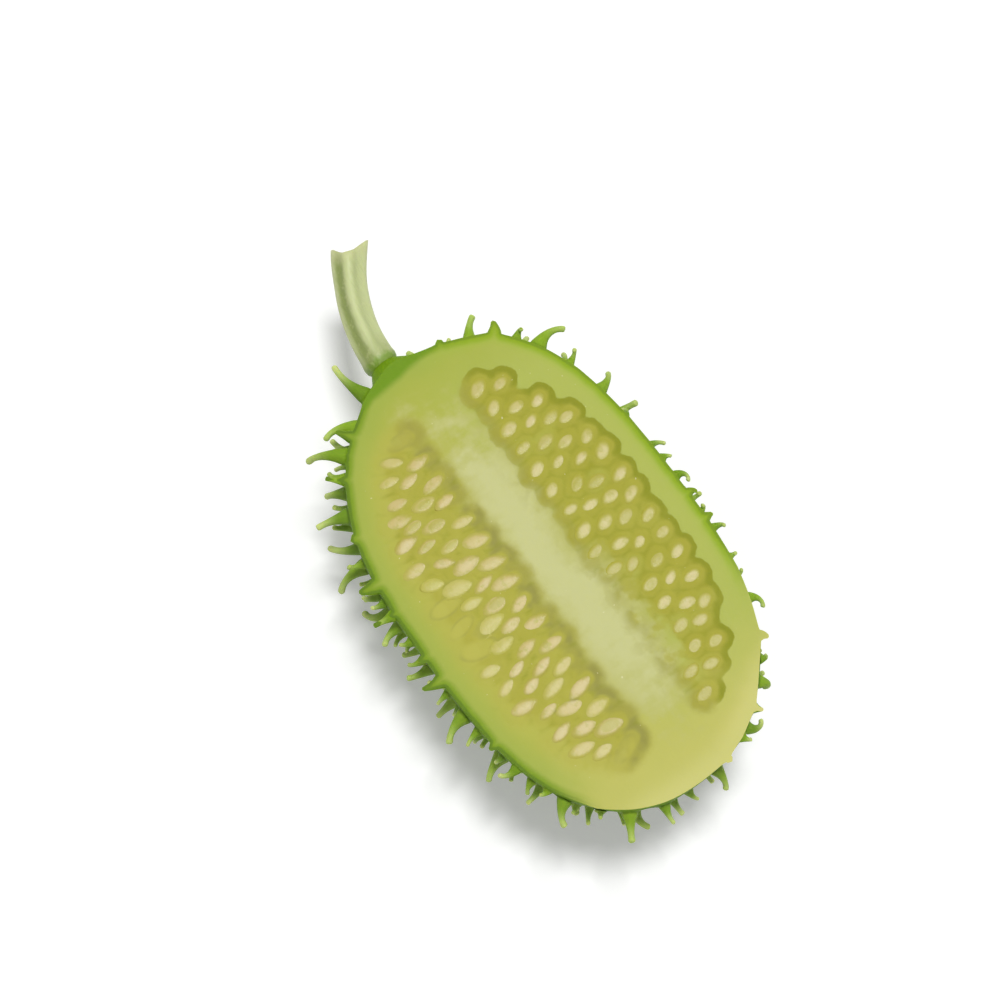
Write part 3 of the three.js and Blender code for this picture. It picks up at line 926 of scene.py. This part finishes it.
class Finish:
    """A material, or a world, that is being put together from nodes."""

    def __init__(self, block):
        self.block = block
        self.block.use_nodes = True
        self.nodes = self.block.node_tree.nodes
        self.links = self.block.node_tree.links
        self.nodes.clear()
        self.colour = None

    def add(self, kind, settings=None, inputs=None, output=0):
        """Adds a node: first its settings, then its sockets' values or wires. Gives one of its outputs."""
        node = self.nodes.new(kind)
        for name, value in (settings or {}).items():
            setattr(node, name, value)
        for name, value in (inputs or {}).items():
            if isinstance(value, Wire):
                self.links.new(value.socket, node.inputs[name])
            else:
                node.inputs[name].default_value = value
        return Wire(self, node.outputs[output]) if len(node.outputs) else None

    def math(self, operation, *values):
        return self.add("ShaderNodeMath", {"operation": operation}, dict(enumerate(values)))

    def place(self):
        """Object coordinates in millimetres."""
        where = self.add("ShaderNodeTexCoord", output="Object")
        return self.add("ShaderNodeVectorMath", {"operation": "SCALE"}, {0: where, "Scale": 1 / MM})

    def stretched(self, place, factors):
        return self.add("ShaderNodeVectorMath", {"operation": "MULTIPLY"}, {0: place, 1: factors})

    def split(self, place):
        parts = self.add("ShaderNodeSeparateXYZ", None, {0: place}).socket.node
        return [Wire(self, socket) for socket in parts.outputs]

    def attribute(self, name):
        return self.add("ShaderNodeAttribute", {"attribute_name": name}, output="Fac")

    def noise(self, place, size, detail=2.0):
        """Soft random blotches about size millimetres across."""
        return self.add("ShaderNodeTexNoise", None, {"Vector": place, "Scale": 1 / size, "Detail": detail})

    def rise(self, value, low, high):
        """0 up to low, 1 from high on, and a smooth step between them. High may be the smaller one."""
        settings = {"interpolation_type": "SMOOTHSTEP"}
        if low < high:
            inputs = {"Value": value, "From Min": low, "From Max": high}
            return self.add("ShaderNodeMapRange", settings, inputs)
        inputs = {"Value": value, "From Min": high, "From Max": low, "To Min": 1.0, "To Max": 0.0}
        return self.add("ShaderNodeMapRange", settings, inputs)

    def mix(self, factor, first, second):
        settings = {"data_type": "RGBA"}
        inputs = {}
        for name, value in ((0, factor), (6, first), (7, second)):
            inputs[name] = value if isinstance(value, Wire) or name == 0 else (*value, 1.0)
        return self.add("ShaderNodeMix", settings, inputs, output=2)

    def coat(self, cover, colour):
        """Lays a colour over the surface's, as far as cover, from 0 to 1, lets it show."""
        self.colour = self.mix(cover, self.colour, colour)

    def mix_numbers(self, factor, first, second):
        return self.add("ShaderNodeMix", {"data_type": "FLOAT"}, {0: factor, 2: first, 3: second})

    def bump(self, height, distance):
        return self.add("ShaderNodeBump", None, {"Height": height, "Distance": distance * MM})

    def surface(self, roughness, normal, **constants):
        inputs = {"Base Color": self.colour, "Roughness": roughness, "Normal": normal}
        inputs.update({name.replace("_", " "): value for name, value in constants.items()})
        shader = self.add("ShaderNodeBsdfPrincipled", {"subsurface_method": "RANDOM_WALK"}, inputs)
        return self.done(shader)

    def done(self, shader, kind="Material"):
        self.add("ShaderNodeOutput" + kind, None, {"Surface": shader})
        return self.block

    def seen(self):
        """1 for what the camera sees itself, in gloss or through glass, and 0 for what lights the object."""
        path = self.add("ShaderNodeLightPath").socket.node.outputs
        rays = [Wire(self, path[name]) for name in ("Is Camera Ray", "Is Glossy Ray", "Is Transmission Ray")]
        return self.math("MAXIMUM", self.math("MAXIMUM", rays[0], rays[1]), rays[2])


def rind_finish(colours):
    f = Finish(bpy.data.materials.new("gherkin_rind"))
    place = f.place()
    x, _, z = f.split(place)
    spine = f.attribute("spine")
    tone = f.attribute("tone")
    patches = f.noise(place, 6.5, 3)
    streaks = f.noise(f.stretched(place, (0.35, 1, 1)), 3.2, 2)
    specks = f.noise(place, 0.55, 2)
    light = f.rise(patches + 0.35 * (streaks - 0.5), 0.38, 0.62)
    f.colour = f.mix(light, colours.rind_dark, colours.rind_light)
    f.coat(f.rise(specks, 0.56, 0.72) * 0.35, colours.rind_speck)
    shoulder = f.rise(x - FACE_CENTRE.x + 2.5 * (patches - 0.5), -27.0, -30.5)
    # painted light: near the cut, the rind's steep side is coated with the shoulder's bright green in place of
    # the light that the lamp overhead hardly gives it; round the neck that green is the rind's own colour
    rim = f.rise(z - FACE_HEIGHT, -3.2, -0.4)
    f.coat(f.math("MAXIMUM", shoulder, rim * 0.9), colours.shoulder)
    f.coat(f.rise(spine, 0.02, 0.34) * (0.7 + 0.3 * tone), f.mix(tone, colours.spine, colours.spine_dark))
    f.coat(f.rise(spine, 0.45, 1.0) * (0.45 + 0.5 * tone), colours.spine_tip)
    bumps = f.bump(f.noise(place, 0.9, 3) + 0.35 * f.noise(place, 0.25, 2), 0.12)
    return f.surface(
        0.48 + 0.16 * specks + 0.25 * rim, bumps, Subsurface_Radius=(0.7, 1.0, 0.15),
        Subsurface_Weight=0.35, Subsurface_Scale=0.0015, Specular_IOR_Level=0.22,
    )


class Flesh(Finish):
    """The cut face's finish, with the measures and blotches that its coats share."""

    def __init__(self, colours):
        super().__init__(bpy.data.materials.new("gherkin_flesh"))
        self.colours = colours
        self.where = self.place()
        x, y, _ = self.split(self.where)
        self.along = x - FACE_CENTRE.x
        self.across = y - FACE_CENTRE.y
        self.rim = self.attribute("rim")
        self.cloud = self.noise(self.where, 4.5, 3)
        self.fine = self.noise(self.where, 1.3, 3)

    def lay_ground(self):
        """Yellower to the left and towards the blossom end, greener towards the stalk."""
        right = self.rise(self.across + 5 * (self.cloud - 0.5), -6.0, 8.0)
        self.colour = self.mix(right, self.colours.flesh, self.colours.flesh_right)
        self.coat(self.rise(self.along + 7 * (self.cloud - 0.5), 14.0, 30.0), self.colours.flesh_blossom)
        self.coat(self.rise(self.along + 5 * (self.cloud - 0.5), -20.0, -31.0) * 0.8, self.colours.flesh_stalk)

    def lay_core(self):
        """The pale core with its frayed edge, wider past the middle, and the blots on its right."""
        wide = self.noise(self.where, 9.0, 3)
        streaks = self.noise(self.stretched(self.where, (1, 0.35, 1)), 1.5, 2)
        wobble = 6.0 * (wide - 0.5) + 2.2 * (self.fine - 0.5) + 2.4 * (streaks - 0.5)
        bulge = self.rise(self.along, -3.0, 6.0) * self.rise(self.along, 25.0, 12.0)
        end = self.along + 4 * wobble
        halo = self.rise(abs(self.across - 0.6 - bulge + wobble) - bulge, 7.0, 2.6)
        halo = halo * self.rise(end, -28.0, -14.0) * self.rise(end, 29.0, 16.0)
        self.coat(halo * 0.75, self.colours.core_edge)
        core = self.rise(abs(self.across - 0.3 - 1.2 * bulge + wobble) - 0.8 * bulge, 5.6, 0.4)
        core = core * self.rise(end, -26.0, -14.0) * self.rise(end, 28.0, 13.0)
        self.coat(core * 0.9, self.colours.core)
        blots = self.rise(self.noise(self.where, 2.4, 3), 0.5, 0.66) * self.rise(self.across, 0.8, 3.4) * halo
        self.coat(blots * 0.35, self.colours.core_blot)

    def lay_gel(self):
        """The soft flesh round the seeds: sharp cells on the right, one blurred bed on the left, the shade
        next to the core, and the seeds that lie too deep to be laid bare."""
        colours, cloud, fine = self.colours, self.cloud, self.fine
        cell, web = self.attribute("cell"), self.attribute("web")
        outer, inner = self.attribute("outer"), self.attribute("inner")
        faint, ghost = self.attribute("faint"), self.attribute("ghost")
        blob = self.noise(self.where, 1.9, 1)
        ragged = cell + 1.4 * (cloud - 0.5) + 0.8 * (fine - 0.5)
        wavy = cell + 0.4 * (cloud - 0.5) + 0.45 * (fine - 0.5) + 0.7 * (blob - 0.5)
        right = self.rise(self.across, -1.0, 1.0)
        left = 1 - right
        coreward = inner * (0.4 + 0.6 * self.rise(self.along, -20.0, 10.0))
        smudge = self.rise(blob + 0.6 * (fine - 0.5), 0.42, 0.68)
        clear = 1 - self.rise(faint, 0.1, 0.75) * (1 - 0.65 * smudge)

        sharp = self.rise(wavy, 1.08, 0.82)
        soft = self.rise(wavy + 1.6 * (blob - 0.5), 1.2, 0.0)
        cells = self.mix_numbers(coreward, sharp, soft) * clear
        gel = self.mix_numbers(right, self.rise(ragged, 2.0, 0.0), cells)
        amber = self.mix(self.rise(cloud + 0.5 * (fine - 0.5), 0.35, 0.7), colours.gel, colours.gel_light)
        amber = self.mix(left * (0.5 + 0.4 * outer), amber, colours.gel_left)
        amber = self.mix(self.rise(cell, 0.6, 0.0) * right * 0.6, amber, colours.gel_light)
        self.coat(gel * (0.92 - 0.4 * outer * left), amber)

        wall = self.rise(wavy, -0.05, 0.6) * self.rise(wavy, 1.12, 0.94)
        wall = wall * (1 - coreward) * (0.2 * blob + 0.8 * outer)
        wall = self.math("MAXIMUM", wall, web * (0.1 + 0.5 * blob) * self.rise(wavy, 1.2, 0.9))
        self.coat(wall * right * clear, colours.gel_dark)
        shade = self.rise(cell, -0.55, 0.0) * self.rise(wavy, 1.6, 0.3) * inner * (1 - 0.6 * right)
        self.coat(shade * (0.45 + 0.5 * self.rise(cloud + blob - 0.5, 0.35, 0.65)), colours.gel_shade)
        seam = web * (1 - 0.6 * outer) * (1 - faint) * self.rise(blob, 0.25, 0.75) * self.rise(wavy, 1.3, 0.8)
        self.coat(seam * left * 0.55, colours.gel_dark)
        outline = self.rise(ghost, 0.0, 0.35) * self.rise(ghost, 0.85, 0.35) * self.rise(blob, 0.3, 0.7)
        self.coat(ghost * 0.65 * left, colours.ghost)
        self.coat(outline * 0.4 * left, colours.gel_shade)

    def lay_cut_rind(self):
        """The greens towards the rim, thinner at the blossom end and brighter on the right."""
        colours, cloud, across = self.colours, self.cloud, self.across
        thin = self.rise(self.along + 0.35 * across + 2 * (cloud - 0.5), 15.0, 24.0)
        sunny = self.rise(across + 4 * (cloud - 0.5), 1.0, 9.0)
        edge = self.rim + 0.5 * (cloud - 0.5) + 0.2 * (self.fine - 0.5)
        pale = self.rise(self.along + 0.25 * across + 1.5 * (cloud - 0.5), 25.0, 30.5)
        self.coat(pale * self.rise(self.rim, 4.0, 0.3) * 0.9, colours.flesh_rim)
        under = self.mix(sunny, colours.under_skin, colours.under_skin_sunny)
        self.coat(self.rise(edge * (1 + 1.2 * sunny), 4.6, 0.7) * 0.8 * (1 - 0.9 * thin), under)
        skin = self.mix(sunny, colours.skin, colours.skin_sunny)
        self.coat(self.rise(edge, 1.35, 0.4) * (1 - thin), skin)
        self.coat(self.rise(edge, 0.5, 0.2) * (1 - thin) * (0.9 - 0.4 * sunny), colours.skin_line)
        neck = self.rise(self.along + 0.12 * across + 0.8 * (cloud - 0.5), -30.3, -31.5)
        self.coat(neck, colours.shoulder)

    def lay_painted_glints(self):
        # painted highlight: small pale glints laid into the cut face's colour, where a wet surface would catch
        # the lamp, kept away from the rim
        painted_glint = self.rise(self.noise(self.where, 0.55, 1), 0.74, 0.79)
        painted_glint = painted_glint * self.rise(self.rim, 1.0, 2.0) * self.rise(self.cloud, 0.45, 0.6)
        self.coat(painted_glint * 0.6, self.colours.painted_glint)


def flesh_finish(colours):
    f = Flesh(colours)
    f.lay_ground()
    f.lay_core()
    f.lay_gel()
    f.lay_cut_rind()
    f.lay_painted_glints()
    grain = f.noise(f.where, 0.3, 2)
    return f.surface(
        0.5 + 0.15 * grain, f.bump(0.5 * f.fine + 0.2 * grain, 0.05), Subsurface_Radius=(1.0, 0.9, 0.35),
        Subsurface_Weight=0.3, Subsurface_Scale=0.0003, Specular_IOR_Level=0.18,
    )


def seed_finish(colours):
    f = Finish(bpy.data.materials.new("gherkin_seed"))
    place = f.place()
    edge = f.attribute("edge")
    tone = f.attribute("tone")
    left = f.rise(f.split(place)[1], FACE_CENTRE.y + 1, FACE_CENTRE.y - 1)
    f.colour = f.mix(left, colours.seed_right, colours.seed_left)
    mottle = f.noise(place, 0.8, 2)
    # a lighter middle on each seed: partly its own paler heart, partly painted highlight
    f.coat(f.rise(edge + 0.9 * (mottle - 0.5), 0.75, 0.15) * (0.25 + 0.65 * tone), colours.seed_heart_and_highlight)
    f.coat(f.rise(f.noise(place, 1.1, 3), 0.48, 0.7) * (0.35 + 0.4 * (1 - tone)), colours.gel_light)
    f.coat(f.attribute("sliced") * f.rise(edge, 0.6, 0.4) * 0.7, colours.gel_light)
    brown = f.rise(edge, 0.5, 0.66) * left * f.rise(tone + mottle - 0.5, 0.35, 0.7)
    f.coat(brown * 0.5, colours.seed_outline)
    gel = f.rise(edge + 0.25 * (mottle - 0.5), 0.36, 0.8) * (0.75 + 0.25 * (1 - left))
    f.coat(gel, colours.gel_light)
    f.coat(f.rise(f.attribute("veil"), 0.0, 0.6) * 0.8, f.mix(left, colours.gel_light, colours.ghost))
    return f.surface(
        0.5, f.bump(f.noise(place, 0.35, 2), 0.03), Subsurface_Radius=(1.0, 0.85, 0.5), Subsurface_Weight=0.3,
        Subsurface_Scale=0.0003, Specular_IOR_Level=0.25, Coat_Weight=0.05, Coat_Roughness=0.12,
    )


def stalk_finish(colours):
    f = Finish(bpy.data.materials.new("gherkin_stalk"))
    place = f.place()
    rib = f.attribute("rib")
    length = f.attribute("length")
    streaks = f.noise(f.stretched(place, (0.12, 1, 1)), 0.5, 3)
    # painted shade: the grooves darken fully only on one side of the stalk, standing in for the shade on that
    # side
    groove_and_shade = f.rise(rib + 0.5 * (streaks - 0.5), 1.05, 0.1) * (0.12 + 0.88 * f.attribute("shade"))
    f.colour = f.mix(groove_and_shade, colours.stalk_ridge, colours.stalk_groove)
    f.coat(f.rise(length, 0.3, 0.0) * 0.45, colours.stalk_groove)
    f.coat(f.rise(length + 0.08 * (streaks - 0.5), 0.05, -0.02) * 0.7, colours.shoulder)
    f.coat(f.rise(f.noise(place, 0.8, 2), 0.55, 0.75) * 0.3, colours.stalk_tip)
    f.coat(f.rise(length, 0.86, 1.0) * 0.6, colours.stalk_tip)
    bumps = f.bump(streaks + 0.4 * f.noise(place, 0.4, 2), 0.14)
    return f.surface(
        0.5, bumps, Subsurface_Radius=(0.8, 1.0, 0.4), Subsurface_Weight=0.25, Subsurface_Scale=0.0012
    )


# ---- settings ----


def colour_property(name, description, red, green, blue):
    return bpy.props.FloatVectorProperty(
        name=name, description=description, default=paint(red, green, blue), min=0, max=1, subtype="COLOR"
    )


def length_property(name, description, default, least=0.0):
    return bpy.props.FloatProperty(
        name=name, description=description, default=default, min=least, subtype="DISTANCE", unit="LENGTH"
    )


def angle_property(name, description, degrees):
    return bpy.props.FloatProperty(
        name=name, description=description, default=math.radians(degrees), subtype="ANGLE", unit="ROTATION"
    )


def number_property(name, description, default, least=0.0):
    return bpy.props.FloatProperty(name=name, description=description, default=default, min=least)


class GherkinSizes(bpy.types.PropertyGroup):
    spine_length: length_property("Spine Length", "Length of a middling spine", 0.0052)
    face_pitch: length_property("Face Pitch", "Spacing of the cut face's mesh", 0.00025, 0.0002)
    seed_size: number_property("Seed Size", "Size of the seeds over their plain size", 1.0, 0.2)
    stalk_reach: length_property("Stalk Reach", "Length of the stalk along the fruit", 0.015)
    stalk_radius: length_property("Stalk Radius", "Radius of the stalk halfway along", 0.0021)


class GherkinColours(bpy.types.PropertyGroup):
    rind_dark: colour_property("Rind", "Darker patches of the rind", 54, 84, 22)
    rind_light: colour_property("Light Rind", "Lighter patches of the rind", 96, 126, 52)
    rind_speck: colour_property("Rind Specks", "Small pale specks on the rind", 132, 158, 88)
    # shoulder is also laid as painted light on the rind's steep side just under the cut
    shoulder: colour_property("Shoulder", "Bright rind round the neck and along the rim", 112, 150, 0)
    spine: colour_property("Spine", "Spines, between foot and tip", 152, 184, 48)
    spine_dark: colour_property("Dark Spine", "The darkest spines", 112, 146, 34)
    spine_tip: colour_property("Spine Tip", "Tips of the spines", 210, 222, 140)
    skin_line: colour_property("Skin", "The skin's cut edge", 92, 124, 0)
    skin: colour_property("Rind in Section", "The cut rind", 126, 156, 16)
    under_skin: colour_property("Flesh Under Skin", "Greener flesh just inside the rind", 160, 177, 70)
    skin_sunny: colour_property("Bright Rind in Section", "The cut rind on the oval seeds' side", 144, 173, 8)
    under_skin_sunny: colour_property("Bright Flesh Under Skin", "The same flesh on that side", 164, 186, 60)
    flesh: colour_property("Flesh", "Flesh on the side of the pointed seeds", 182, 184, 76)
    flesh_right: colour_property("Other Flesh", "Flesh on the side of the oval seeds", 178, 187, 86)
    flesh_stalk: colour_property("Flesh at Stalk End", "Flesh towards the stalk", 168, 178, 66)
    flesh_blossom: colour_property("Flesh at Blossom End", "Flesh towards the blossom end", 196, 194, 100)
    flesh_rim: colour_property("Blossom End Rim", "Pale flesh at the blossom end's rim", 212, 208, 126)
    core_edge: colour_property("Core Edge", "Flesh between the core and the seeds", 184, 182, 96)
    core_blot: colour_property("Core Blots", "Darker blots where the core meets the oval seeds", 170, 168, 84)
    core: colour_property("Core", "Pale flesh between the seed bands", 205, 206, 144)
    gel: colour_property("Gel", "Soft flesh round the seeds", 162, 158, 34)
    gel_light: colour_property("Light Gel", "Paler soft flesh round the seeds", 173, 168, 54)
    gel_left: colour_property("Gel of Pointed Seeds", "Soft flesh round the pointed seeds", 186, 181, 76)
    gel_dark: colour_property("Cell Edge", "Dark outer edge of a seed's cell", 140, 145, 14)
    gel_shade: colour_property("Cell Shade", "Shade round the seeds next to the core", 152, 149, 68)
    ghost: colour_property("Deep Seed", "Seeds that show faintly through the flesh", 190, 186, 82)
    seed_right: colour_property("Oval Seeds", "Oval seeds", 193, 185, 100)
    seed_left: colour_property("Pointed Seeds", "Pointed seeds", 199, 180, 110)
    # partly the seed's own paler heart, partly painted highlight
    seed_heart_and_highlight: colour_property("Seed Middle", "Middle of a seed", 206, 192, 132)
    seed_outline: colour_property("Seed Outline", "Brownish edge of some pointed seeds", 176, 156, 78)
    # painted highlight: colour of the small glints on the cut face
    painted_glint: colour_property("Painted Glints", "Small pale painted glints on the cut face", 226, 224, 176)
    stalk_groove: colour_property("Stalk Groove", "Grooves of the stalk", 138, 152, 80)
    stalk_ridge: colour_property("Stalk Ridge", "Ridges of the stalk", 202, 210, 152)
    stalk_tip: colour_property("Stalk End", "Dry end of the stalk", 206, 208, 152)


class GherkinStage(bpy.types.PropertyGroup):
    floor_colour: colour_property("Floor", "Colour of the floor", 242, 242, 242)
    lamp_strength: number_property("Lamp Strength", "Strength of the soft lamp", 2.1)
    sky_strength: number_property("Sky Strength", "Strength of the light from all round", 0.34)
    azimuth: angle_property("Azimuth", "Direction that the camera looks from", 54.5)
    elevation: angle_property("Elevation", "Height angle of the camera", 76)
    lens: number_property("Lens", "Focal length of the camera in millimetres", 100, 1)


# ---- operators ----


class GHERKIN_OT_fruit(bpy.types.Operator):
    """Builds the spiny half fruit with its cut face"""

    bl_idname = "gherkin.fruit"
    bl_label = "Half Fruit"

    def execute(self, context):
        sizes = context.scene.gherkin_sizes
        colours = context.scene.gherkin_colours
        materials = [rind_finish(colours), flesh_finish(colours)]
        seeds = Seeds(sizes.seed_size)
        bm = rind_cage()
        draw_out_spines(bm, root_spines(bm, grow_spines(sizes.spine_length / MM)))
        half = cut_by(bm, cutting_block(sizes.face_pitch / MM, seeds), materials)
        drop_loose_tips(half)
        mark_flesh(half, seeds)
        for face in half.faces:
            face.smooth = True
        finished("gherkin_half", half, materials, "rind", "fruit_half")
        return {"FINISHED"}


class GHERKIN_OT_seeds(bpy.types.Operator):
    """Builds the rows of seeds"""

    bl_idname = "gherkin.seeds"
    bl_label = "Seeds"

    def execute(self, context):
        material = seed_finish(context.scene.gherkin_colours)
        for band, rows in Seeds(context.scene.gherkin_sizes.seed_size).rows.items():
            for i, seeds in enumerate(rows, 1):
                build_seed_row(seeds, f"seeds_{band}_{i:02}", f"seed_row_{band}_{i:02}", material)
        return {"FINISHED"}


class GHERKIN_OT_stalk(bpy.types.Operator):
    """Builds the stalk"""

    bl_idname = "gherkin.stalk"
    bl_label = "Stalk"

    def execute(self, context):
        build_stalk(context.scene.gherkin_sizes, [stalk_finish(context.scene.gherkin_colours)])
        return {"FINISHED"}


def build_floor(colour):
    f = Finish(bpy.data.materials.new("floor"))
    shade = f.add("ShaderNodeBsdfDiffuse", None, {"Color": (*colour, 1.0)})
    glow = f.add("ShaderNodeEmission", None, {"Color": WHITE, "Strength": f.seen() * FLOOR_GLOW})
    material = f.done(f.add("ShaderNodeAddShader", None, {0: shade, 1: glow}))
    bm = bmesh.new()
    bmesh.ops.create_grid(bm, x_segments=1, y_segments=1, size=FLOOR_HALF)
    linked("floor", bm, [material])


def build_world(strength):
    world = bpy.data.worlds.new("studio")
    bpy.context.scene.world = world
    f = Finish(world)
    strength = strength + f.seen() * (1 - strength)
    f.done(f.add("ShaderNodeBackground", None, {"Color": WHITE, "Strength": strength}), "World")


def aim(thing, place, target):
    """Puts a camera or lamp at a place and turns it to a target, upright."""
    thing.location = place
    thing.rotation_euler = (target - place).to_track_quat("-Z", "Y").to_euler()


def hang_lamp(strength, face, right, back):
    lamp = put_in_scene("key_lamp", bpy.data.lights.new("key_lamp", "SUN"))
    lamp.data.energy = strength
    lamp.data.angle = LAMP_ANGLE
    aim(lamp, face + back * LAMP_BACK + right * LAMP_SIDE + Vector((0, 0, LAMP_RISE)), face)


def set_up_camera(lens, elevation, face, right, back):
    camera = put_in_scene("camera", bpy.data.cameras.new("camera"))
    bpy.context.scene.camera = camera
    camera.data.lens = lens
    camera.data.sensor_width = SENSOR_WIDTH
    target = face + right * VIEW_RIGHT * MM + back * VIEW_BACK * MM
    away = Vector((0, 0, math.sin(elevation))) - back * math.cos(elevation)
    distance = VIEW_WIDTH * MM * lens / SENSOR_WIDTH
    aim(camera, target + away * distance, target)


class GHERKIN_OT_stage(bpy.types.Operator):
    """Lays the floor, lights it softly and sets up the camera"""

    bl_idname = "gherkin.stage"
    bl_label = "Stage"

    def execute(self, context):
        stage = context.scene.gherkin_stage
        face = FACE_CENTRE * MM
        right = Vector((math.cos(stage.azimuth), math.sin(stage.azimuth), 0))
        back = Vector((-math.sin(stage.azimuth), math.cos(stage.azimuth), 0))
        build_floor(stage.floor_colour)
        build_world(stage.sky_strength)
        hang_lamp(stage.lamp_strength, face, right, back)
        set_up_camera(stage.lens, stage.elevation, face, right, back)
        context.scene.view_settings.view_transform = "Standard"
        return {"FINISHED"}


class GHERKIN_PT_panel(bpy.types.Panel):
    bl_idname = "GHERKIN_PT_panel"
    bl_label = "West Indian Gherkin"
    bl_space_type = "VIEW_3D"
    bl_region_type = "UI"
    bl_category = "Gherkin"

    def draw(self, context):
        for group in (context.scene.gherkin_sizes, context.scene.gherkin_colours, context.scene.gherkin_stage):
            box = self.layout.box()
            for name in group.__annotations__:
                box.prop(group, name)
        for operator in OPERATORS:
            self.layout.operator(operator.bl_idname)


OPERATORS = (GHERKIN_OT_fruit, GHERKIN_OT_seeds, GHERKIN_OT_stalk, GHERKIN_OT_stage)
CLASSES = (GherkinSizes, GherkinColours, GherkinStage, *OPERATORS, GHERKIN_PT_panel)


def register():
    for cls in CLASSES:
        bpy.utils.register_class(cls)
    bpy.types.Scene.gherkin_sizes = bpy.props.PointerProperty(type=GherkinSizes)
    bpy.types.Scene.gherkin_colours = bpy.props.PointerProperty(type=GherkinColours)
    bpy.types.Scene.gherkin_stage = bpy.props.PointerProperty(type=GherkinStage)


def unregister():
    del bpy.types.Scene.gherkin_stage
    del bpy.types.Scene.gherkin_colours
    del bpy.types.Scene.gherkin_sizes
    for cls in reversed(CLASSES):
        bpy.utils.unregister_class(cls)


def main():
    register()
    bpy.ops.gherkin.fruit()
    bpy.ops.gherkin.seeds()
    bpy.ops.gherkin.stalk()
    bpy.ops.gherkin.stage()


if __name__ == "__main__":
    main()
